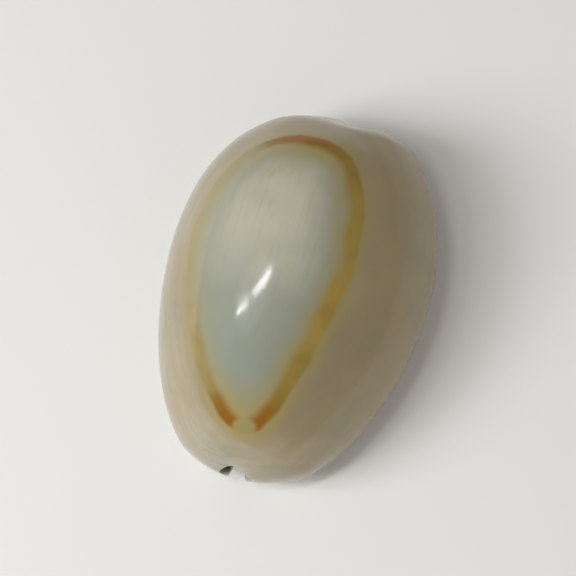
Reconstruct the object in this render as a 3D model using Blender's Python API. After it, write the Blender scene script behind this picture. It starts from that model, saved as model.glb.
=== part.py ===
"""Ring cowrie shell: one grown piece, a thick wall rolled round the hollow body whorl.

Metres, +Z up. The shell rests on its base at z = 0 with its long axis along Y: the narrow front
(anterior) end is at -Y and the rounder spire (posterior) end at +Y. The outer lip is on -X and the
columella lip on +X, as on every right-handed cowrie seen from above with its front end near.

The wall is a row of C-shaped sections across Y. Each C is open below at the toothed aperture, its
outer curve is paired point by point with its inner curve, and the two meet at each end of the shell
in the rounded rim of a canal, so the hollow is open along the slit and at both canals.
"""

import bpy
import numpy as np

MM = 0.001

# Overall size, in millimetres
LENGTH = 25.0
WIDTH = 17.8
HEIGHT = 12.7

# Outline from above
WIDEST_Y = 1.3
END_HALF_WIDTH = 0.7
OUTLINE_OVERRUN = 0.4
FRONT_POWER = 1.85
BACK_POWER = 2.2

# Callus: the thick brim round the shell
CALLUS_TOP = 7.4
CALLUS_END_TOP = 1.1
MARGIN_Z = 3.5
BASE_BELOW_FLOOR = 0.28
BASE_END_RISE = 1.55
BASE_SQUARENESS = 2.5

# Dome: the raised back that the ring goes round, off centre towards the outer lip
DOME_OUTER_SHARE = 0.74
DOME_COLUMELLA_SHARE = 0.65
DOME_FRONT_Y = -12.4
DOME_BACK_Y = 11.6
DOME_FRONT_TAPER = 1.3
DOME_FRONT_POWER = 1.75
DOME_BACK_POWER = 2.1
DOME_ROUNDNESS = 2.3
JOIN_POWER = 7.0

# Wall: hollow over solid, measured outwards from the middle of each section
HOLLOW_TOP_SHARE = 0.91
HOLLOW_SIDE_SHARE = 0.79
HOLLOW_FLOOR_SHARE = 0.52
CANAL_SHARE = 0.32

# Aperture slit and its lips
SLIT_X = -1.0
SLIT_FRONT_BEND = 0.35
SLIT_BACK_BEND = 2.0
SLIT_MIDDLE = 1.15
SLIT_FRONT = 1.6
SLIT_BACK = 0.95
SLIT_END = 0.85
SLIT_CORNER = 0.45
LIP_REACH = 1.1
LIP_END_REACH = 1.8
LIP_SHARE = 0.40
INNER_LIP_SHARE = 0.28

# Teeth on both lips
TOOTH_PITCH = 1.45
TOOTH_FRONT_Y = -9.9
TOOTH_BACK_Y = 9.6
TOOTH_INTO_SLIT = 0.26
TOOTH_ON_BASE = 0.30
COLUMELLA_TOOTH_SHIFT = 0.45

# Ends: a rounded rim round each canal, set back over the top to leave a notch
RIM_LENGTH = 1.3
RIM_INSET = 0.18
NOTCH_FRONT = 0.45
NOTCH_BACK = 0.5
NOTCH_START = 0.72
NOTCH_NARROWNESS = 3.0

# Mesh
BODY_STATIONS = 68
RIM_STATIONS = 5
LIP_POINTS = 3
WALL_POINTS = 27
TOP_SPREAD = 2.5


def ease(low, high, value):
    """Nought below low, one above high, and a smooth S between."""
    t = np.clip((value - low) / (high - low), 0.0, 1.0)
    return t * t * (3.0 - 2.0 * t)


def egg(y, front, back, front_power, back_power):
    """One at the widest station, falling in a rounded curve to nought at front and at back."""
    ahead = np.clip((WIDEST_Y - y) / (WIDEST_Y - front), 0.0, 1.0)
    behind = np.clip((y - WIDEST_Y) / (back - WIDEST_Y), 0.0, 1.0)
    return np.sqrt(1.0 - ahead**front_power) * np.sqrt(1.0 - behind**back_power)


def outline(y):
    reach = LENGTH / 2 + OUTLINE_OVERRUN
    return egg(y, -reach, reach, FRONT_POWER, BACK_POWER)


def dome_width(y):
    return egg(y, DOME_FRONT_Y, DOME_BACK_Y, DOME_FRONT_TAPER, DOME_BACK_POWER)


def dome_height(y):
    return egg(y, DOME_FRONT_Y, DOME_BACK_Y, DOME_FRONT_POWER, DOME_BACK_POWER)


def dome_top():
    """Height of the bare dome over the brim: joined to the callus it comes to the shell's height."""
    whole = HEIGHT - MARGIN_Z
    return (whole**JOIN_POWER - CALLUS_TOP**JOIN_POWER) ** (1.0 / JOIN_POWER)


def nearness_to_end(y):
    return np.abs(y) / (LENGTH / 2)


def canal_share(y):
    """How far the hollow has narrowed into an end canal: nought in the body, one at a rim."""
    return ease(0.55, 1.0, nearness_to_end(y))


def slit_x(y):
    """The slit bows towards the outer lip, and both its ends turn to the columella side."""
    front = np.clip(-y / (LENGTH / 2), 0.0, 1.0)
    back = np.clip(y / (LENGTH / 2), 0.0, 1.0)
    return SLIT_X + SLIT_FRONT_BEND * front**2 + SLIT_BACK_BEND * back**2.4


def slit_width(y):
    """Widest in front, narrowing to both ends, where each lip turns away in a quarter round."""
    front = ease(0.0, LENGTH / 2, -y)
    back = ease(0.0, LENGTH / 2, y)
    width = SLIT_MIDDLE + (SLIT_FRONT - SLIT_MIDDLE) * front + (SLIT_BACK - SLIT_MIDDLE) * back
    width = width + (SLIT_END - width) * ease(0.8, 1.0, nearness_to_end(y))
    into_rim = np.clip(1.0 - (LENGTH / 2 - np.abs(y)) / RIM_LENGTH, 0.0, 1.0)
    return width + 2.0 * SLIT_CORNER * (1.0 - np.sqrt(1.0 - into_rim**2))


def centre_z(y):
    return MARGIN_Z - 0.35 * ease(3.0, 12.0, -y) + 0.15 * ease(3.0, 12.0, y)


def base_z(y):
    return BASE_END_RISE * nearness_to_end(y) ** 3.6 - BASE_BELOW_FLOOR


def rounded(cosine, sine, across, up, power):
    """Distance to a rounded box along a direction, from the middle of the box."""
    return (np.abs(cosine / across) ** power + np.abs(sine / up) ** power) ** (-1.0 / power)


def outside(cosine, sine, y):
    """Distance from the section's middle to the outer face, with the base cut flat at the floor."""
    middle = slit_x(y)
    half = END_HALF_WIDTH + (WIDTH / 2 - END_HALF_WIDTH) * outline(y)
    lean = np.where(cosine < 0.0, middle, -middle) * outline(y)
    across = half + lean
    callus_up = CALLUS_END_TOP + (CALLUS_TOP - CALLUS_END_TOP) * outline(y)
    below = centre_z(y) - base_z(y)
    under = rounded(cosine, sine, across, below, BASE_SQUARENESS)
    callus = np.where(sine < 0.0, under, rounded(cosine, sine, across, callus_up, 2.0))

    share = np.where(cosine < 0.0, DOME_OUTER_SHARE, DOME_COLUMELLA_SHARE)
    wide = share * (WIDTH / 2 + lean) * np.maximum(dome_width(y), 1e-3)
    tall = dome_top() * np.maximum(dome_height(y), 1e-3)
    dome = rounded(cosine, sine, wide, tall, DOME_ROUNDNESS)
    joined = (callus**JOIN_POWER + dome**JOIN_POWER) ** (1.0 / JOIN_POWER)
    radius = np.where(sine < 0.0, callus, joined)
    to_floor = centre_z(y) / np.maximum(-sine, 1e-6)
    return np.minimum(radius, to_floor)


def inside(cosine, sine, y):
    """Distance from the section's middle to the hollow, as a share of the outer distance."""
    up = np.clip(sine, 0.0, 1.0) ** 1.5
    down = np.clip(-sine, 0.0, 1.0) ** 1.5
    body = HOLLOW_SIDE_SHARE + (HOLLOW_TOP_SHARE - HOLLOW_SIDE_SHARE) * up
    body = body + (HOLLOW_FLOOR_SHARE - HOLLOW_SIDE_SHARE) * down
    return outside(cosine, sine, y) * (body + (CANAL_SHARE - body) * canal_share(y))


def wall_directions(y):
    """Directions round a section, away from the slit: from the -X lip over the top to the +X lip."""
    half = WIDTH / 2 * outline(y)
    reach = LIP_REACH + (LIP_END_REACH - LIP_REACH) * canal_share(y)
    start = np.arctan2(reach + slit_width(y) / 2, half)
    turn = np.linspace(0.0, 1.0, WALL_POINTS)
    angle = (1.5 * np.pi - start) + turn * (2.0 * start - 2.0 * np.pi)
    up = np.where(np.sin(angle) > 0.0, centre_z(y) + TOP_SPREAD, centre_z(y))
    length = np.hypot(half * np.cos(angle), up * np.sin(angle))
    return half * np.cos(angle) / length, up * np.sin(angle) / length


def tooth(y, shift):
    """One on the crest of each tooth, nought in the grooves, and fading out past the end teeth."""
    wave = (0.5 + 0.5 * np.cos(2.0 * np.pi * (y / TOOTH_PITCH + shift))) ** 1.2
    present = ease(TOOTH_FRONT_Y - 1.0, TOOTH_FRONT_Y + 0.6, y)
    present = present * (1.0 - ease(TOOTH_BACK_Y - 0.6, TOOTH_BACK_Y + 1.0, y))
    return wave, present


def lip_turn():
    """Quarter turn of a lip: up the slit's wall at the first point, along the base at the last."""
    return np.linspace(np.pi / 2, 0.0, LIP_POINTS, endpoint=False)


def with_lips(x, z, edge_a, edge_b, rise_a, rise_b):
    """A wall curve with a quarter round at each end, which turns it up or down into the slit."""
    turn = lip_turn()
    out = np.sin(turn)
    climb = 1.0 - np.cos(turn)
    xa = x[:, :1] + (edge_a - x[:, :1]) * out
    xb = x[:, -1:] + (edge_b - x[:, -1:]) * out
    za = z[:, :1] + rise_a * climb
    zb = z[:, -1:] + rise_b * climb
    return (np.concatenate([xa, x, xb[:, ::-1]], axis=1),
            np.concatenate([za, z, zb[:, ::-1]], axis=1))


def section_curves(y):
    """Outer and inner curve of each section, paired point by point, and how far up each pair is."""
    cosine, sine = wall_directions(y)
    far = outside(cosine, sine, y)
    near = inside(cosine, sine, y)
    xo, zo = slit_x(y) + far * cosine, centre_z(y) + far * sine
    xi, zi = slit_x(y) + near * cosine, centre_z(y) + near * sine

    gap = slit_width(y) / 2
    wave_a, present = tooth(y, 0.0)
    wave_b = tooth(y, COLUMELLA_TOOTH_SHIFT)[0]
    edge_a = slit_x(y) - gap + TOOTH_INTO_SLIT * (wave_a - 0.4) * present
    edge_b = slit_x(y) + gap - TOOTH_INTO_SLIT * (wave_b - 0.4) * present
    thick_a = zi[:, :1] - zo[:, :1]
    thick_b = zi[:, -1:] - zo[:, -1:]
    carve_a = TOOTH_ON_BASE * (1.0 - wave_a) * present
    carve_b = TOOTH_ON_BASE * (1.0 - wave_b) * present
    outer = with_lips(xo, zo, edge_a, edge_b, LIP_SHARE * thick_a + carve_a, LIP_SHARE * thick_b + carve_b)
    inner = with_lips(xi, zi, edge_a, edge_b, -INNER_LIP_SHARE * thick_a, -INNER_LIP_SHARE * thick_b)
    level = np.zeros((len(y), LIP_POINTS))
    upness = np.concatenate([level, np.clip(sine, 0.0, 1.0), level], axis=1)
    return outer, inner, upness


def stations():
    """Places along Y, and how far the wall is still open there: one, closing to nought at a rim."""
    body = LENGTH / 2 - RIM_LENGTH
    quarter = np.linspace(0.0, np.pi / 2, RIM_STATIONS + 1)[1:]
    rim = body + RIM_LENGTH * np.sin(quarter)
    y = np.concatenate([-rim[::-1], np.linspace(-body, body, BODY_STATIONS), rim])
    closing = np.cos(quarter)
    closing[-1] = 0.0
    return y[:, None], np.concatenate([closing[::-1], np.ones(BODY_STATIONS), closing])[:, None]


def notched(y, upness):
    """The top of each end is set back, which leaves a notch between two lobes."""
    back = np.where(y < 0.0, NOTCH_FRONT, -NOTCH_BACK)
    return y + back * ease(NOTCH_START, 1.0, nearness_to_end(y)) * upness**NOTCH_NARROWNESS


def shell_grid():
    """Points of the outer and inner curves: arrays of station by point by coordinate."""
    y, open_share = stations()
    (xo, zo), (xi, zi), upness = section_curves(y)
    rim_x = xi + RIM_INSET * (xo - xi)
    rim_z = zi + RIM_INSET * (zo - zi)
    along = notched(y, upness)
    outer = np.stack([rim_x + open_share * (xo - rim_x), along,
                      rim_z + open_share * (zo - rim_z)], axis=-1)
    inner = np.stack([rim_x + open_share * (xi - rim_x), along,
                      rim_z + open_share * (zi - rim_z)], axis=-1)
    inner[0] = outer[0]
    inner[-1] = outer[-1]
    off_centre = (outer[..., 0].min() + outer[..., 0].max()) / 2
    outer[..., 0] -= off_centre
    inner[..., 0] -= off_centre
    return outer, inner


def shell_faces(rows, columns):
    """Quads round each C section; at the two end rims the inner points are the outer ones."""
    def index(row, column):
        if column < columns:
            return row * columns + column
        if row == 0 or row == rows - 1:
            return row * columns + 2 * columns - 1 - column
        return rows * columns + (row - 1) * columns + 2 * columns - 1 - column

    faces = []
    for row in range(rows - 1):
        for column in range(2 * columns):
            following = (column + 1) % (2 * columns)
            corners = [index(row, column), index(row, following),
                       index(row + 1, following), index(row + 1, column)]
            faces.append(list(dict.fromkeys(corners)))
    return faces


def shell_material():
    material = bpy.data.materials.new("cowrie_porcelain")
    material.use_nodes = True
    shader = material.node_tree.nodes["Principled BSDF"]
    shader.inputs["Base Color"].default_value = (0.60, 0.55, 0.43, 1.0)
    shader.inputs["Roughness"].default_value = 0.16
    shader.inputs["Metallic"].default_value = 0.0
    return material


def make_shell():
    outer, inner = shell_grid()
    rows, columns = outer.shape[:2]
    points = np.concatenate([outer.reshape(-1, 3), inner[1:-1].reshape(-1, 3)]) * MM
    mesh = bpy.data.meshes.new("cowrie_shell")
    mesh.from_pydata(points.tolist(), [], shell_faces(rows, columns))
    mesh.validate()
    mesh.shade_smooth()
    mesh.materials.append(shell_material())
    shell = bpy.data.objects.new("cowrie_shell", mesh)
    bpy.context.scene.collection.objects.link(shell)
    return shell


for old in list(bpy.data.objects):
    bpy.data.objects.remove(old, do_unlink=True)

make_shell()
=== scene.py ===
import math

import bpy
import numpy as np
from mathutils import Matrix, Vector


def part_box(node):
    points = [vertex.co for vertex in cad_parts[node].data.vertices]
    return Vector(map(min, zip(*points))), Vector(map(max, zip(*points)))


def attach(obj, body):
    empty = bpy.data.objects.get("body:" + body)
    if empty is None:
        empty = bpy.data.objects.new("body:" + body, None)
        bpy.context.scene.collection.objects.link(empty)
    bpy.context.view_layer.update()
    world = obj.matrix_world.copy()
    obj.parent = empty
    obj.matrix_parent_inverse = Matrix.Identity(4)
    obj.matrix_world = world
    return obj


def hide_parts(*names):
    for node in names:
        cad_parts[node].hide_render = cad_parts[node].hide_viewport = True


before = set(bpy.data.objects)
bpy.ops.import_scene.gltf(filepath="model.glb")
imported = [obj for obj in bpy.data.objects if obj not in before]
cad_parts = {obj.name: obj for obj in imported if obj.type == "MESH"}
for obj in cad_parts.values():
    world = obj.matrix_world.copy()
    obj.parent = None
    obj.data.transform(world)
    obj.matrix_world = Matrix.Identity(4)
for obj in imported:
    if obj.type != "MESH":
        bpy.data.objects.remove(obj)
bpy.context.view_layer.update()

boxLow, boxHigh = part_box("cowrie_shell")
mm = 0.001
print("frame loaded")


def ease(low, high, value):
    # nought below low, one above high, a smooth S between
    t = np.clip((value - low) / (high - low), 0.0, 1.0)
    return t * t * (3.0 - 2.0 * t)


# One whole ring cowrie, in millimetres. Length lies along Y, the narrow front end at -Y,
# the outer lip on -X. Shares are of the outer distance from the middle of a section.
shell = {
    "length": (boxHigh.y - boxLow.y) / mm,
    "width": (boxHigh.x - boxLow.x) / mm,
    "height": (boxHigh.z - boxLow.z) / mm,
    "widestY": 1.3,
    "endHalfWidth": 0.7,
    "outlineOverrun": 0.4,
    "frontPower": 1.85,
    "backPower": 2.2,
    "callusTop": 7.4,
    "callusEndTop": 1.1,
    "marginZ": 3.5,           # height of the middle of a section, and how it shifts towards the ends
    "marginFrontDrop": 0.35,
    "marginBackRise": 0.15,
    "marginShiftStart": 3.0,
    "marginShiftEnd": 12.0,
    "baseBelowFloor": 0.28,
    "baseEndRise": 1.55,
    "baseRisePower": 3.6,
    "baseSquareness": 2.5,
    "domeOuterShare": 0.74,
    "domeColumellaShare": 0.65,
    "domeFrontY": -12.4,
    "domeBackY": 11.6,
    "domeFrontTaper": 1.3,
    "domeFrontPower": 1.75,
    "domeBackPower": 2.1,
    "domeRoundness": 2.3,
    "leastSwell": 0.001,
    "joinPower": 7.0,
    "hollowTopShare": 0.91,
    "hollowSideShare": 0.79,
    "hollowFloorShare": 0.52,
    "hollowPower": 1.5,
    "canalShare": 0.32,
    "canalStart": 0.55,
    "slitX": -1.0,
    "slitFrontBend": 0.35,
    "slitBackBend": 2.0,
    "slitBendPowers": (2.0, 2.4),
    "slitMiddle": 1.15,
    "slitFront": 1.6,
    "slitBack": 0.95,
    "slitEnd": 0.85,
    "slitEndStart": 0.8,
    "slitCorner": 0.45,
    "lipReach": 1.1,
    "lipEndReach": 1.8,
    "lipShare": 0.40,
    "innerLipShare": 0.28,
    "toothPitch": 1.45,
    "toothFrontY": -9.9,
    "toothBackY": 9.6,
    "toothIntoSlit": 0.26,
    "toothOnBase": 0.34,
    "outerToothLength": 1.9,
    "columellaToothLength": 3.1,
    "columellaToothShift": 0.45,
    "toothSharpness": 1.3,
    "toothWander": 0.07,
    "toothFade": (1.0, 0.6),  # how far past and before the end teeth they fade out
    "ringFrontLean": 0.055,   # moves the painted ring's front half towards the columella side
    "ringLeanReach": (1.0, 9.5),
    "ringEndLeans": ((0.25, -1.0, 0.0), (-0.18, 1.0, 0.0)),    # which way each end of the ring faces
    "rimLength": 1.3,
    "rimInset": 0.18,
    "notchFront": 0.45,
    "notchBack": 0.5,
    "notchStart": 0.72,
    "notchNarrowness": 3.0,
    "topSpread": 2.5,
    "farBelowRing": -3.0,     # stands for the ring value where a wall faces down or into the slit
    "hollowShadeFade": 0.92,       # where the painted shade inside the hollow begins to fade towards each end
    "awayFromRing": 9.0,
    "ripple": 0.002,          # height of the soft unevenness of the polish
    "bodyStations": 376,
    "rimStations": 16,
    "lipPoints": 14,
    "wallPoints": 92,
}


def egg(y, front, back, frontPower, backPower):
    # product of two rounded falls: one at the widest station, nought at front and at back
    ahead = np.clip((shell["widestY"] - y) / (shell["widestY"] - front), 0.0, 1.0)
    behind = np.clip((y - shell["widestY"]) / (back - shell["widestY"]), 0.0, 1.0)
    return np.sqrt(1.0 - ahead**frontPower) * np.sqrt(1.0 - behind**backPower)


def outline(y):
    # the egg between points a little past both ends, so that the ends stay blunt
    reach = shell["length"] / 2 + shell["outlineOverrun"]
    return egg(y, -reach, reach, shell["frontPower"], shell["backPower"])


def domeSwell(y, frontPower):
    # the egg between the dome's own ends, never quite nought
    swell = egg(y, shell["domeFrontY"], shell["domeBackY"], frontPower, shell["domeBackPower"])
    return np.maximum(swell, shell["leastSwell"])


def domeTop():
    # height of the bare dome over the brim: joined to the callus it comes to the shell's height
    whole, power = shell["height"] - shell["marginZ"], shell["joinPower"]
    return (whole**power - shell["callusTop"] ** power) ** (1.0 / power)


def endNearness(y):
    # nought at mid length, one at either end
    return np.abs(y) / (shell["length"] / 2)


def canalShare(y):
    # nought in the body, one where the hollow has narrowed to an end canal
    return ease(shell["canalStart"], 1.0, endNearness(y))


def slitX(y):
    # bowed towards the outer lip, both ends turned to the columella side
    half = shell["length"] / 2
    front = np.clip(-y / half, 0.0, 1.0)
    back = np.clip(y / half, 0.0, 1.0)
    frontPower, backPower = shell["slitBendPowers"]
    bend = shell["slitFrontBend"] * front**frontPower + shell["slitBackBend"] * back**backPower
    return shell["slitX"] + bend


def slitWidth(y):
    # widest in front, narrowing to both ends, where each lip turns away in a quarter round
    half = shell["length"] / 2
    middle = shell["slitMiddle"]
    width = middle + (shell["slitFront"] - middle) * ease(0.0, half, -y)
    width = width + (shell["slitBack"] - middle) * ease(0.0, half, y)
    width = width + (shell["slitEnd"] - width) * ease(shell["slitEndStart"], 1.0, endNearness(y))
    intoRim = np.clip(1.0 - (half - np.abs(y)) / shell["rimLength"], 0.0, 1.0)
    return width + 2.0 * shell["slitCorner"] * (1.0 - np.sqrt(1.0 - intoRim**2))


def centreZ(y):
    # the widest level of a section, a little lower in front and higher at the back
    start, end = shell["marginShiftStart"], shell["marginShiftEnd"]
    drop = shell["marginFrontDrop"] * ease(start, end, -y)
    return shell["marginZ"] - drop + shell["marginBackRise"] * ease(start, end, y)


def baseZ(y):
    # the base curve: below the floor at mid length, rising as a power of the nearness to an end
    return shell["baseEndRise"] * endNearness(y) ** shell["baseRisePower"] - shell["baseBelowFloor"]


def rounded(cosine, sine, across, up, power):
    # distance to a superellipse along a direction from its middle
    return (np.abs(cosine / across) ** power + np.abs(sine / up) ** power) ** (-1.0 / power)


def outside(cosine, sine, y):
    # the callus brim and the dome are two superellipses joined by a power mean, cut flat at the floor;
    # also gives log(dome / callus), which is nought along the ring where the two cross
    middle = slitX(y)
    half = shell["endHalfWidth"] + (shell["width"] / 2 - shell["endHalfWidth"]) * outline(y)
    lean = np.where(cosine < 0.0, middle, -middle) * outline(y)
    across = half + lean
    callusUp = shell["callusEndTop"] + (shell["callusTop"] - shell["callusEndTop"]) * outline(y)
    below = centreZ(y) - baseZ(y)
    under = rounded(cosine, sine, across, below, shell["baseSquareness"])
    callus = np.where(sine < 0.0, under, rounded(cosine, sine, across, callusUp, 2.0))

    share = np.where(cosine < 0.0, shell["domeOuterShare"], shell["domeColumellaShare"])
    wide = share * (shell["width"] / 2 + lean) * domeSwell(y, shell["domeFrontTaper"])
    tall = domeTop() * domeSwell(y, shell["domeFrontPower"])
    dome = rounded(cosine, sine, wide, tall, shell["domeRoundness"])
    power = shell["joinPower"]
    joined = (callus**power + dome**power) ** (1.0 / power)
    radius = np.where(sine < 0.0, callus, joined)
    toFloor = centreZ(y) / np.maximum(-sine, 1e-6)
    return np.minimum(radius, toFloor), np.log(dome / callus)


def inside(sine, y, far):
    # the hollow is a share of the outer distance: thin over the top, thick at the brim and base
    up = np.clip(sine, 0.0, 1.0) ** shell["hollowPower"]
    down = np.clip(-sine, 0.0, 1.0) ** shell["hollowPower"]
    body = shell["hollowSideShare"] + (shell["hollowTopShare"] - shell["hollowSideShare"]) * up
    body = body + (shell["hollowFloorShare"] - shell["hollowSideShare"]) * down
    return far * (body + (shell["canalShare"] - body) * canalShare(y))


def ripples(cosine, sine, y):
    # a few long sine waves crossing each other, faded out on the flat base
    waves = np.sin(1.7 * y + 2.0 * cosine) + np.sin(0.9 * y - 4.0 * cosine + 1.0)
    waves = waves + 0.8 * np.sin(2.6 * y + 5.0 * sine - 3.0 * cosine + 2.2)
    return shell["ripple"] * waves * ease(-0.2, 0.4, sine)


def wallDirections(y):
    # directions round a section from the -X lip over the top to the +X lip, evenly by ellipse angle
    half = shell["width"] / 2 * outline(y)
    reach = shell["lipReach"] + (shell["lipEndReach"] - shell["lipReach"]) * canalShare(y)
    start = np.arctan2(reach + slitWidth(y) / 2, half)
    turn = np.linspace(0.0, 1.0, shell["wallPoints"])
    angle = (1.5 * np.pi - start) + turn * (2.0 * start - 2.0 * np.pi)
    up = np.where(np.sin(angle) > 0.0, centreZ(y) + shell["topSpread"], centreZ(y))
    length = np.hypot(half * np.cos(angle), up * np.sin(angle))
    return half * np.cos(angle) / length, up * np.sin(angle) / length


def tooth(y, shift):
    # raised cosine along the slit, one on a crest, with a slow sine wander in its pitch;
    # present fades out past the end teeth
    wander = shell["toothWander"] * np.sin(1.1 * y + 6.0 * shift)
    turns = y / shell["toothPitch"] + shift + wander
    wave = (0.5 + 0.5 * np.cos(2.0 * np.pi * turns)) ** shell["toothSharpness"]
    past, before = shell["toothFade"]
    present = ease(shell["toothFrontY"] - past, shell["toothFrontY"] + before, y)
    present = present * (1.0 - ease(shell["toothBackY"] - before, shell["toothBackY"] + past, y))
    return wave, present


def withLips(x, z, edgeA, edgeB, riseA, riseB):
    # a quarter round at each end of a wall curve turns it into the slit
    turn = np.linspace(np.pi / 2, 0.0, shell["lipPoints"], endpoint=False)
    out = np.sin(turn)
    climb = 1.0 - np.cos(turn)
    xa = x[:, :1] + (edgeA - x[:, :1]) * out
    xb = x[:, -1:] + (edgeB - x[:, -1:]) * out
    za = z[:, :1] + riseA * climb
    zb = z[:, -1:] + riseB * climb
    return (np.concatenate([xa, x, xb[:, ::-1]], axis=1),
            np.concatenate([za, z, zb[:, ::-1]], axis=1))


def sectionCurves(y):
    # outer and inner curve of every section, paired point by point
    cosine, sine = wallDirections(y)
    far, inRing = outside(cosine, sine, y)
    near = inside(sine, y, far)
    far = far + ripples(cosine, sine, y)
    middle, low = slitX(y), centreZ(y)
    xo, zo = middle + far * cosine, low + far * sine
    leanStart, leanEnd = shell["ringLeanReach"]
    inRing = inRing + shell["ringFrontLean"] * np.tanh(far * cosine) * ease(leanStart, leanEnd, -y)
    xi, zi = middle + near * cosine, low + near * sine

    gap = slitWidth(y) / 2
    waveA, present = tooth(y, 0.0)
    waveB = tooth(y, shell["columellaToothShift"])[0]
    edgeA = middle - gap + shell["toothIntoSlit"] * (waveA - 0.4) * present
    edgeB = middle + gap - shell["toothIntoSlit"] * (waveB - 0.4) * present
    thickA = zi[:, :1] - zo[:, :1]
    thickB = zi[:, -1:] - zo[:, -1:]
    outer = withLips(xo, zo, edgeA, edgeB, shell["lipShare"] * thickA, shell["lipShare"] * thickB)
    inner = withLips(xi, zi, edgeA, edgeB,
                     -shell["innerLipShare"] * thickA, -shell["innerLipShare"] * thickB)

    # grooves between the teeth, deepest at the slit and running out along the base
    x, z = outer
    count = x.shape[1]
    leftSide = np.arange(count) < count // 2
    fromEdge = np.where(leftSide, edgeA - x, x - edgeB)
    wave = np.where(leftSide, waveA, waveB)
    toothLength = np.where(leftSide, shell["outerToothLength"], shell["columellaToothLength"])
    nearLip = (1.0 - ease(0.1, toothLength, fromEdge)) * present * (z < low)
    outer = (x, z + shell["toothOnBase"] * (1.0 - wave) * nearLip)

    below = shell["farBelowRing"]
    sides = np.full((len(y), shell["lipPoints"]), below)
    level = np.zeros_like(sides)
    fields = {
        "up": np.concatenate([level, np.clip(sine, 0.0, 1.0), level], axis=1),
        "inRing": np.concatenate([sides, np.where(sine > 0.0, inRing, below), sides], axis=1),
        "lip": nearLip,
        "crest": wave * nearLip,
    }
    return outer, inner, fields


def stations():
    # places along Y, and how far the wall is still open there; it closes round each end rim
    body = shell["length"] / 2 - shell["rimLength"]
    quarter = np.linspace(0.0, np.pi / 2, shell["rimStations"] + 1)[1:]
    rim = body + shell["rimLength"] * np.sin(quarter)
    y = np.concatenate([-rim[::-1], np.linspace(-body, body, shell["bodyStations"]), rim])
    closing = np.cos(quarter)
    closing[-1] = 0.0
    openShare = np.concatenate([closing[::-1], np.ones(shell["bodyStations"]), closing])
    return y[:, None], openShare[:, None]


def notched(y, up):
    # the top of each end is set back, which leaves a notch between two lobes
    back = np.where(y < 0.0, shell["notchFront"], -shell["notchBack"])
    return y + back * ease(shell["notchStart"], 1.0, endNearness(y)) * up ** shell["notchNarrowness"]


def shellGrid():
    # outer and inner point grids, station by point by coordinate, fitted to the frame's box
    y, openShare = stations()
    (xo, zo), (xi, zi), fields = sectionCurves(y)
    rimX = xi + shell["rimInset"] * (xo - xi)
    rimZ = zi + shell["rimInset"] * (zo - zi)
    along = notched(y, fields["up"])
    outer = np.stack([rimX + openShare * (xo - rimX), along,
                      rimZ + openShare * (zo - rimZ)], axis=-1)
    inner = np.stack([rimX + openShare * (xi - rimX), along,
                      rimZ + openShare * (zi - rimZ)], axis=-1)
    low, high = outer.min(axis=(0, 1)), outer.max(axis=(0, 1))
    boxSize = np.array(boxHigh - boxLow) / mm
    fit = boxSize / (high - low)
    shift = np.array(boxLow) / mm
    return (outer - low) * fit + shift, (inner - low) * fit + shift, fields


def ringLine(points, inRing):
    # places where log(dome / callus) passes nought, between neighbours across and along the grid
    found = []
    for a, b, qa, qb in (
        (points[:, :-1], points[:, 1:], inRing[:, :-1], inRing[:, 1:]),
        (points[:-1], points[1:], inRing[:-1], inRing[1:]),
    ):
        crossing = (qa > 0.0) != (qb > 0.0)
        share = (qa[crossing] / (qa[crossing] - qb[crossing]))[:, None]
        found.append(a[crossing] + share * (b[crossing] - a[crossing]))
    return np.concatenate(found)


def distanceTo(points, line):
    # distance from each point to the nearest of the line's points
    squares = (points**2).sum(1)[:, None] + (line**2).sum(1)[None] - 2.0 * points @ line.T
    return np.sqrt(np.maximum(squares.min(axis=1), 0.0))


def closedFaces(rows, columns):
    # quads round each C section; at the two end rims the inner points are the outer ones
    row, column = np.meshgrid(np.arange(rows), np.arange(2 * columns), indexing="ij")
    onInner = column >= columns
    partner = 2 * columns - 1 - column
    atRim = (row == 0) | (row == rows - 1)
    index = np.where(onInner & ~atRim, rows * columns + (row - 1) * columns + partner,
                     row * columns + np.where(onInner, partner, column))
    around = np.roll(index, -1, axis=1)
    quads = np.stack([index[:-1], around[:-1], around[1:], index[1:]], axis=-1).reshape(-1, 4)
    distinct = np.array([len(set(q)) for q in quads.tolist()])
    faces = quads[distinct == 4].tolist()
    return faces + [list(dict.fromkeys(q)) for q in quads[distinct == 3].tolist()]


def makeShell():
    # one closed mesh of the outer and inner grids, with the values that its finish reads
    outer, inner, fields = shellGrid()
    rows, columns = outer.shape[:2]
    line = ringLine(outer, fields["inRing"])
    flat = outer.reshape(-1, 3)
    sign = np.where(fields["inRing"].reshape(-1) > 0.0, 1.0, -1.0)
    ends = np.array([line[(line @ lean).argmax()] for lean in shell["ringEndLeans"]])
    values = {
        "ringDistance": distanceTo(flat, line) * sign,
        "ringEnd": distanceTo(flat, ends),
        "lip": fields["lip"].reshape(-1),
        "crest": fields["crest"].reshape(-1),
        "hollow": np.zeros(len(flat)),
    }
    hidden = inner[1:-1].reshape(-1, 3)
    # painted shade on the inner wall: full at mid length, fading towards each end
    paintedHollowShade = 1.0 - ease(shell["hollowShadeFade"], 1.0, endNearness(hidden[:, 1]))
    away = shell["awayFromRing"]
    deep = {"ringDistance": -away, "ringEnd": away, "lip": 0.0, "crest": 0.0, "hollow": paintedHollowShade}
    mesh = bpy.data.meshes.new("cowrieShellSkin")
    mesh.from_pydata((np.concatenate([flat, hidden]) * mm).tolist(), [], closedFaces(rows, columns))
    mesh.shade_smooth()
    for name, value in values.items():
        whole = np.concatenate([value, np.zeros(len(hidden)) + deep[name]]).astype(np.float32)
        mesh.attributes.new(name, "FLOAT", "POINT").data.foreach_set("value", whole)
    skin = bpy.data.objects.new("cowrieShellSkin", mesh)
    bpy.context.scene.collection.objects.link(skin)
    print("shell surface made,", len(mesh.polygons), "faces")
    return skin


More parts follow.
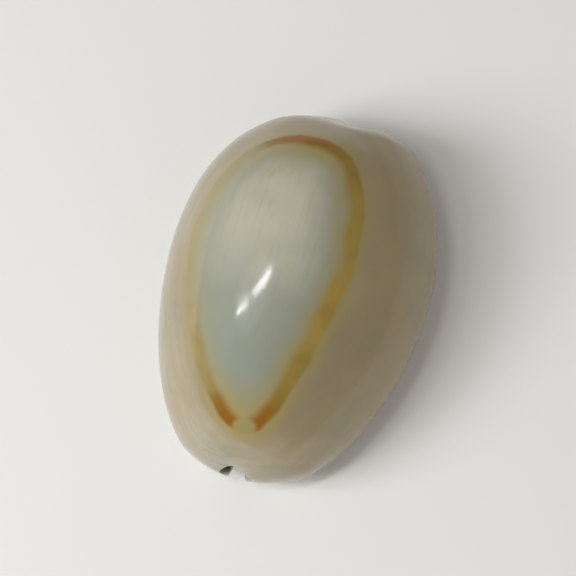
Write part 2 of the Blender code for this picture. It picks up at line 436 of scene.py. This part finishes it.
# Colours are linear; distances are in millimetres over the surface.
porcelain = {
    "brimPale": (0.50, 0.485, 0.39, 1.0),
    # tan of the brim; on the columella side it also serves as painted shade for that side
    "brimTanAndShade": (0.375, 0.29, 0.15, 1.0),
    "brimOlive": (0.33, 0.305, 0.185, 1.0),
    "brimPink": (0.50, 0.425, 0.32, 1.0),
    "collar": (0.26, 0.215, 0.13, 1.0),
    "base": (0.66, 0.65, 0.60, 1.0),
    "basePink": (0.67, 0.64, 0.57, 1.0),
    "domeCrest": (0.555, 0.54, 0.42, 1.0),
    "domeCeladon": (0.385, 0.385, 0.285, 1.0),
    "domeBlue": (0.36, 0.385, 0.35, 1.0),
    "domeFront": (0.29, 0.32, 0.265, 1.0),
    "domeShade": (0.30, 0.31, 0.25, 1.0),
    "halo": (0.40, 0.33, 0.12, 1.0),
    "ring": (0.315, 0.205, 0.028, 1.0),
    "ringFaint": (0.42, 0.295, 0.055, 1.0),
    "ringEnd": (0.33, 0.13, 0.003, 1.0),
    "ringDark": (0.20, 0.11, 0.006, 1.0),
    "growthLine": (0.40, 0.31, 0.21, 1.0),
    "toothCrest": (0.74, 0.73, 0.69, 1.0),
    # between the teeth: partly a greyish tint of the shell, partly painted shade in the grooves
    "toothGroove": (0.52, 0.48, 0.42, 1.0),
    # painted shade: near black for the inside of the hollow, though that inside is pale itself
    "hollow": (0.085, 0.06, 0.055, 1.0),
    "ringOuterEdge": 0.46,    # crisp outer edge and soft inner edge of the ring line
    "ringInnerEdge": 0.34,
    "ringInnerFade": 0.48,
    "ringBreadth": 1.04,
    "ringBroadening": 0.22,
    "bandStretch": 0.10,
    "collarWiden": 0.35,
    "crestSlant": 0.3,
    "pauseBand": 0.3,
    "grooveDepth": 0.75,
    "roughness": (0.10, 0.19),
    "ior": 1.55,
    "translucency": 0.10,
    "scatterRadius": (1.0, 0.75, 0.45),
    "scatterScale": 0.0009,
    "waveStrength": 0.2,
    "waveHeight": 0.00003,
}


def addNode(tree, kind, **settings):
    # a new node of a kind, with its own settings filled in
    made = tree.nodes.new(kind)
    for name, value in settings.items():
        setattr(made, name, value)
    return made


def feed(tree, source, socket):
    # a socket takes another node's output or a fixed value
    if isinstance(source, bpy.types.NodeSocket):
        tree.links.new(source, socket)
    else:
        socket.default_value = source


def mixColours(tree, share, first, second):
    # first where share is nought, second where it is one
    mix = addNode(tree, "ShaderNodeMix", data_type="RGBA")
    feed(tree, share, mix.inputs[0])
    feed(tree, first, mix.inputs[6])
    feed(tree, second, mix.inputs[7])
    return mix.outputs[2]


def between(tree, value, low, high, first=0.0, last=1.0):
    # smooth step from first to last as value goes from low to high
    ramp = addNode(tree, "ShaderNodeMapRange", interpolation_type="SMOOTHSTEP")
    feed(tree, value, ramp.inputs["Value"])
    ramp.inputs["From Min"].default_value = low
    ramp.inputs["From Max"].default_value = high
    ramp.inputs["To Min"].default_value = first
    ramp.inputs["To Max"].default_value = last
    return ramp.outputs["Result"]


def maths(tree, operation, first, second=0.0):
    # one sum on two values
    step = addNode(tree, "ShaderNodeMath", operation=operation)
    feed(tree, first, step.inputs[0])
    feed(tree, second, step.inputs[1])
    return step.outputs[0]


def noise(tree, place, scale, detail=2.0, stretch=(1.0, 1.0, 1.0), shift=(0.0, 0.0, 0.0)):
    # cloudy noise from nought to one, stretched and shifted in place
    mapping = addNode(tree, "ShaderNodeMapping")
    feed(tree, place, mapping.inputs["Vector"])
    mapping.inputs["Scale"].default_value = stretch
    mapping.inputs["Location"].default_value = shift
    cloud = addNode(tree, "ShaderNodeTexNoise")
    feed(tree, mapping.outputs[0], cloud.inputs["Vector"])
    cloud.inputs["Scale"].default_value = scale
    cloud.inputs["Detail"].default_value = detail
    return cloud.outputs[0]


def attribute(tree, name):
    # a value that the surface carries at each of its points
    return addNode(tree, "ShaderNodeAttribute", attribute_name=name).outputs["Fac"]


def brimColour(tree, place, side, along, height, depth):
    # beige brim: pink in patches, tan towards the columella side (partly its own tint, partly painted shade
    # of that side), tan towards the ring, pale at the base
    patches = between(tree, noise(tree, place, 0.16, 2.0), 0.38, 0.64)
    colour = mixColours(tree, patches, porcelain["brimPale"], porcelain["brimPink"])
    # tan towards the columella side: partly its own tint, partly painted shade of that side
    columellaTanAndShade = between(tree, side, -2.0, 8.5, 0.0, 0.75)
    tan = porcelain["brimTanAndShade"]
    colour = mixColours(tree, columellaTanAndShade, colour, tan)
    streaks = noise(tree, place, 0.45, 4.0, (0.5, 0.5, 3.0))
    colour = mixColours(tree, between(tree, streaks, 0.45, 0.75, 0.0, 0.4), colour, tan)
    colour = mixColours(tree, between(tree, height, 3.4, 9.0, 0.0, 0.5), colour, tan)
    blotches = noise(tree, place, 0.33, 3.0, shift=(6.0, 3.0, 9.0))
    olive = between(tree, blotches, 0.45, 0.7, 0.0, 0.6)
    colour = mixColours(tree, olive, colour, porcelain["brimOlive"])

    # growth bands: a noise that changes quickly away from the ring and slowly round it
    rolled = addNode(tree, "ShaderNodeCombineXYZ")
    feed(tree, depth, rolled.inputs[0])
    feed(tree, maths(tree, "MULTIPLY", side, porcelain["bandStretch"]), rolled.inputs[1])
    feed(tree, maths(tree, "MULTIPLY", along, porcelain["bandStretch"]), rolled.inputs[2])
    wide = noise(tree, rolled.outputs[0], 0.9, 2.0)
    thin = noise(tree, rolled.outputs[0], 3.4, 3.0, shift=(2.0, 0.0, 4.0))
    colour = mixColours(tree, between(tree, wide, 0.42, 0.68, 0.0, 0.35), colour, tan)
    nearEnds = between(tree, maths(tree, "ABSOLUTE", along), 4.0, 10.5, 0.3, 1.0)
    share = maths(tree, "MULTIPLY", between(tree, thin, 0.5, 0.7, 0.0, 0.5), nearEnds)
    colour = mixColours(tree, share, colour, porcelain["growthLine"])

    # a darker collar just outside the ring's front half, wider on the columella side; then the white base
    wider = maths(tree, "MULTIPLY", maths(tree, "MAXIMUM", side, 0.0), porcelain["collarWiden"])
    reach = maths(tree, "ADD", depth, wider)
    flank = between(tree, along, 1.0, -4.0, 0.0, 0.5)
    flank = maths(tree, "MULTIPLY", flank, between(tree, along, -11.0, -8.5))
    collar = maths(tree, "MULTIPLY", between(tree, reach, -2.4, -0.4), flank)
    colour = mixColours(tree, collar, colour, porcelain["collar"])
    base = mixColours(tree, patches, porcelain["base"], porcelain["basePink"])
    return mixColours(tree, between(tree, height, 0.6, 3.4, 1.0, 0.0), colour, base)


def domeColour(tree, place, side, along, depth):
    # grey-green glaze, cream on the crest, bluer in front, with soft streaks along the length;
    # the cream begins on a line slanted across the dome
    streaks = noise(tree, place, 1.1, 5.0, (1.0, 0.10, 0.6))
    fine = noise(tree, place, 3.2, 4.0, (1.0, 0.07, 0.6), (4.0, 2.0, 0.0))
    clouds = noise(tree, place, 0.22, 3.0, shift=(3.0, 1.0, 5.0))
    blueness = between(tree, streaks, 0.3, 0.7)
    colour = mixColours(tree, blueness, porcelain["domeCeladon"], porcelain["domeBlue"])
    colour = mixColours(tree, between(tree, along, 2.0, -6.0, 0.0, 0.8), colour, porcelain["domeFront"])
    slanted = maths(tree, "ADD", along, maths(tree, "MULTIPLY", side, porcelain["crestSlant"]))
    crest = between(tree, slanted, -4.2, 3.2, 0.05, 1.0)
    crest = maths(tree, "MULTIPLY", between(tree, depth, 0.6, 4.0), crest)
    crest = maths(tree, "MULTIPLY", crest, between(tree, clouds, 0.3, 0.6, 0.6, 1.0))
    colour = mixColours(tree, crest, colour, porcelain["domeCrest"])
    shade = porcelain["domeShade"]
    colour = mixColours(tree, between(tree, fine, 0.5, 0.75, 0.0, 0.2), colour, shade)

    # one dim band across the dome, where its growth paused
    across = maths(tree, "ADD", along, between(tree, clouds, 0.2, 0.8, -0.9, 0.9))
    band = between(tree, across, -2.6, -0.8, porcelain["pauseBand"], 0.0)
    band = maths(tree, "MULTIPLY", between(tree, across, -3.6, -2.6), band)
    return mixColours(tree, band, colour, shade)


def ringMask(tree, place, side, along, depth, toEnd):
    # a line along the ring, as a distance band: crisp outside, soft inside, broader on both flanks,
    # faint on the outer-lip side, broken at the front end
    broad = maths(tree, "MAXIMUM", between(tree, side, 0.0, 3.0), between(tree, side, -1.0, -5.0))
    broad = maths(tree, "MULTIPLY", broad, between(tree, toEnd, 2.0, 6.0, 0.0, porcelain["ringBroadening"]))
    offRing = maths(tree, "DIVIDE", depth, maths(tree, "ADD", porcelain["ringBreadth"], broad))
    outer, inner = porcelain["ringOuterEdge"], porcelain["ringInnerEdge"]
    line = between(tree, offRing, inner - 0.2, inner + porcelain["ringInnerFade"], 1.0, 0.0)
    line = maths(tree, "MULTIPLY", between(tree, offRing, -outer - 0.14, -outer + 0.16), line)
    uneven = between(tree, noise(tree, place, 0.55, 3.0, shift=(1.0, 8.0, 3.0)), 0.3, 0.6, 0.84, 1.0)
    lipSide = maths(tree, "MULTIPLY", between(tree, side, -1.0, -5.0), between(tree, along, -7.0, -3.0))
    strength = maths(tree, "MULTIPLY", uneven, between(tree, lipSide, 0.0, 1.0, 1.0, 0.36))
    strength = maths(tree, "MAXIMUM", between(tree, toEnd, 1.5, 4.5, 1.0, 0.0), strength)
    behind = between(tree, along, -2.0, 2.0, 0.1, 1.0)
    broken = maths(tree, "MAXIMUM", between(tree, toEnd, 0.5, 1.0), behind)
    return maths(tree, "MULTIPLY", maths(tree, "MULTIPLY", line, strength), broken)


def porcelainMaterial():
    # brim and dome colours met along the ring, then the halo, the ring, the lips and the polish
    material = bpy.data.materials.new("polishedShell")
    material.use_nodes = True
    tree = material.node_tree
    shader = tree.nodes["Principled BSDF"]
    millimetres = addNode(tree, "ShaderNodeMapping")
    feed(tree, addNode(tree, "ShaderNodeTexCoord").outputs["Object"], millimetres.inputs["Vector"])
    millimetres.inputs["Scale"].default_value = (1.0 / mm, 1.0 / mm, 1.0 / mm)
    place = millimetres.outputs[0]
    parts = addNode(tree, "ShaderNodeSeparateXYZ")
    feed(tree, place, parts.inputs[0])
    side, along, height = parts.outputs

    wander = between(tree, noise(tree, place, 0.45, 2.0), 0.2, 0.8, -0.14, 0.14)
    depth = maths(tree, "ADD", attribute(tree, "ringDistance"), wander)
    toEnd = attribute(tree, "ringEnd")
    brim = brimColour(tree, place, side, along, height, depth)
    dome = domeColour(tree, place, side, along, depth)
    colour = mixColours(tree, between(tree, depth, -0.35, 0.3), brim, dome)

    # yellow-green halo on both sides of the ring, stronger on the columella side and inside the tips
    halo = between(tree, depth, 0.2, 2.5, 1.0, 0.0)
    halo = maths(tree, "MULTIPLY", between(tree, depth, -1.9, -0.2), halo)
    patchy = between(tree, noise(tree, place, 0.35, 2.0, shift=(7.0, 2.0, 0.0)), 0.3, 0.7, 0.45, 0.85)
    patchy = maths(tree, "ADD", patchy, between(tree, toEnd, 1.0, 6.0, 0.3, 0.0))
    patchy = maths(tree, "MULTIPLY", patchy, between(tree, side, -5.0, 3.0, 0.85, 1.0))
    halo = maths(tree, "MULTIPLY", halo, patchy)
    colour = mixColours(tree, halo, colour, porcelain["halo"])
    tips = between(tree, toEnd, 1.0, 5.0, 0.3, 0.0)
    tips = maths(tree, "MULTIPLY", tips, between(tree, depth, -0.5, 0.3))
    colour = mixColours(tree, tips, colour, porcelain["halo"])

    # ochre ring, paler along its flanks, duller on the outer-lip side, orange-brown at its ends
    ringTint = mixColours(tree, between(tree, toEnd, 2.0, 7.5), porcelain["ring"], porcelain["ringFaint"])
    dull = between(tree, side, 0.0, -4.0, 0.0, 0.5)
    ringTint = mixColours(tree, dull, ringTint, porcelain["brimOlive"])
    nearEnd = between(tree, toEnd, 1.0, 3.8, 1.0, 0.0)
    ringTint = mixColours(tree, nearEnd, ringTint, porcelain["ringEnd"])
    spots = between(tree, noise(tree, place, 0.5, 2.0, shift=(5.0, 0.0, 2.0)), 0.4, 0.7, 0.0, 0.35)
    ringTint = mixColours(tree, spots, ringTint, porcelain["ringDark"])
    colour = mixColours(tree, ringMask(tree, place, side, along, depth, toEnd), colour, ringTint)

    # lips: white crests, greyish grooves that are partly tint and partly painted shade, and painted shade
    # on the hollow behind them
    lip = attribute(tree, "lip")
    crest = attribute(tree, "crest")
    # grooves darkened, partly by tint and partly by painted shade
    groove = maths(tree, "SUBTRACT", lip, crest)
    groove = maths(tree, "MULTIPLY", groove, porcelain["grooveDepth"])
    colour = mixColours(tree, groove, colour, porcelain["toothGroove"])
    colour = mixColours(tree, crest, colour, porcelain["toothCrest"])
    # painted shade over the inner wall of the hollow
    colour = mixColours(tree, attribute(tree, "hollow"), colour, porcelain["hollow"])
    feed(tree, colour, shader.inputs["Base Color"])

    # polish a little uneven, under faint waves too small for the mesh
    smear = noise(tree, place, 1.1, 4.0, (1.0, 0.4, 1.0))
    smooth, rough = porcelain["roughness"]
    feed(tree, between(tree, smear, 0.3, 0.75, smooth, rough), shader.inputs["Roughness"])
    bump = addNode(tree, "ShaderNodeBump")
    bump.inputs["Strength"].default_value = porcelain["waveStrength"]
    bump.inputs["Distance"].default_value = porcelain["waveHeight"]
    feed(tree, noise(tree, place, 1.6, 3.0, (1.0, 0.5, 1.0)), bump.inputs["Height"])
    feed(tree, bump.outputs[0], shader.inputs["Normal"])
    shader.inputs["IOR"].default_value = porcelain["ior"]
    shader.inputs["Subsurface Weight"].default_value = porcelain["translucency"]
    shader.inputs["Subsurface Radius"].default_value = porcelain["scatterRadius"]
    shader.inputs["Subsurface Scale"].default_value = porcelain["scatterScale"]
    print("shell finish made")
    return material


# Stage: a pale floor under a soft key on the outer-lip side, a dim fill, and two thin tubes overhead
stage = {
    "floorSize": 1.6,
    "floorDrop": -0.00002,    # keeps the floor clear of the base that rests on it
    "floorRoughness": 0.7,
    "floorColour": (0.90, 0.895, 0.885, 1.0),
    "skyColour": (1.0, 0.955, 0.88, 1.0),
    "skyStrength": 0.265,
    "keyWatts": 0.34,
    "keySize": 0.12,
    "keyFrom": (-0.72, -0.42, 0.80),
    "fillWatts": 0.035,
    "fillSize": 0.20,
    "fillFrom": (0.8, -0.5, 0.7),
    "sheenWatts": 0.035,
    "sheenSize": 0.13,
    "sheenFrom": (-0.20, -0.22, 0.95),
    "tubeWattsPerMetre": 1.1,
    "tubeWidths": (0.007, 0.014),
    "tubes": (
        ((-0.400, -0.345, 0.85), (-0.245, -0.257, 0.935)),
        ((-0.18, -0.195, 0.964), (-0.005, -0.05, 0.999)),
    ),
    "lampDistance": 0.26,
}


def makeFloor():
    # a square just under the shell
    half = stage["floorSize"] / 2
    drop = stage["floorDrop"]
    mesh = bpy.data.meshes.new("paleFloor")
    corners = [(-half, -half, drop), (half, -half, drop), (half, half, drop), (-half, half, drop)]
    mesh.from_pydata(corners, [], [(0, 1, 2, 3)])
    material = bpy.data.materials.new("palePaint")
    material.use_nodes = True
    shader = material.node_tree.nodes["Principled BSDF"]
    shader.inputs["Base Color"].default_value = stage["floorColour"]
    shader.inputs["Roughness"].default_value = stage["floorRoughness"]
    mesh.materials.append(material)
    floor = bpy.data.objects.new("paleFloor", mesh)
    bpy.context.scene.collection.objects.link(floor)


def makeLamp(name, watts, start, stop, width, target, seenInGlaze):
    # a rectangular lamp from one direction round the target to another, facing the target
    start = Vector(start).normalized() * stage["lampDistance"]
    stop = Vector(stop).normalized() * stage["lampDistance"]
    lamp = bpy.data.lights.new(name, "AREA")
    lamp.shape = "RECTANGLE"
    lamp.energy = watts
    lamp.size, lamp.size_y = (stop - start).length, width
    away = ((start + stop) / 2).normalized()
    across = away.cross(stop - start).normalized()
    turn = Matrix((across.cross(away), across, away)).transposed()
    holder = bpy.data.objects.new(name, lamp)
    holder.matrix_world = Matrix.Translation(target + (start + stop) / 2) @ turn.to_4x4()
    holder.visible_glossy = seenInGlaze
    bpy.context.scene.collection.objects.link(holder)


def makeSquareLamp(name, watts, origin, size, target, seenInGlaze=False):
    # a square lamp centred on one direction: half its size to either side of it
    origin = Vector(origin).normalized() * stage["lampDistance"]
    half = origin.cross(Vector((0.0, 0.0, 1.0))).normalized() * size / 2
    makeLamp(name, watts, origin - half, origin + half, size, target, seenInGlaze)


def makeLights(target):
    # three soft squares, the tubes that draw the highlight, and an even sky
    makeSquareLamp("keyLamp", stage["keyWatts"], stage["keyFrom"], stage["keySize"], target)
    makeSquareLamp("fillLamp", stage["fillWatts"], stage["fillFrom"], stage["fillSize"], target)
    makeSquareLamp("sheenLamp", stage["sheenWatts"], stage["sheenFrom"], stage["sheenSize"], target, True)
    for number, (start, stop) in enumerate(stage["tubes"]):
        span = (Vector(stop) - Vector(start)).length * stage["lampDistance"]
        watts = stage["tubeWattsPerMetre"] * span
        makeLamp(f"tube{number}", watts, start, stop, stage["tubeWidths"][number], target, True)
    world = bpy.data.worlds.new("softSky")
    world.use_nodes = True
    sky = world.node_tree.nodes["Background"]
    sky.inputs["Color"].default_value = stage["skyColour"]
    sky.inputs["Strength"].default_value = stage["skyStrength"]
    bpy.context.scene.world = world


camera = {
    "azimuth": 46.0,
    "elevation": 73.0,
    "roll": -31.0,
    "lens": 220.0,
    "shellShareOfView": 0.66,
    "nearest": 0.005,
    "furthest": 10.0,
}


def makeCamera(target):
    # straight back from the target along the azimuth and elevation, then rolled about the view
    azimuth = math.radians(camera["azimuth"])
    elevation = math.radians(camera["elevation"])
    level = math.cos(elevation)
    back = Vector((math.sin(azimuth) * level, -math.cos(azimuth) * level, math.sin(elevation)))
    data = bpy.data.cameras.new("viewCamera")
    data.lens = camera["lens"]
    data.clip_start = camera["nearest"]
    data.clip_end = camera["furthest"]
    seen = shell["length"] * mm / camera["shellShareOfView"]
    holder = bpy.data.objects.new("viewCamera", data)
    holder.location = target + back * (seen * camera["lens"] / data.sensor_width)
    turn = (-back).to_track_quat("-Z", "Y")
    holder.rotation_euler = turn.to_euler()
    holder.rotation_euler.rotate_axis("Z", math.radians(camera["roll"]))
    bpy.context.scene.collection.objects.link(holder)
    bpy.context.scene.camera = holder


skin = makeShell()
skin.data.materials.append(porcelainMaterial())
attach(skin, "root")
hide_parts("cowrie_shell")

middle = (boxLow + boxHigh) / 2
makeFloor()
makeLights(middle)
makeCamera(middle)
bpy.context.scene.view_settings.view_transform = "Standard"
print("stage, lights and camera made")
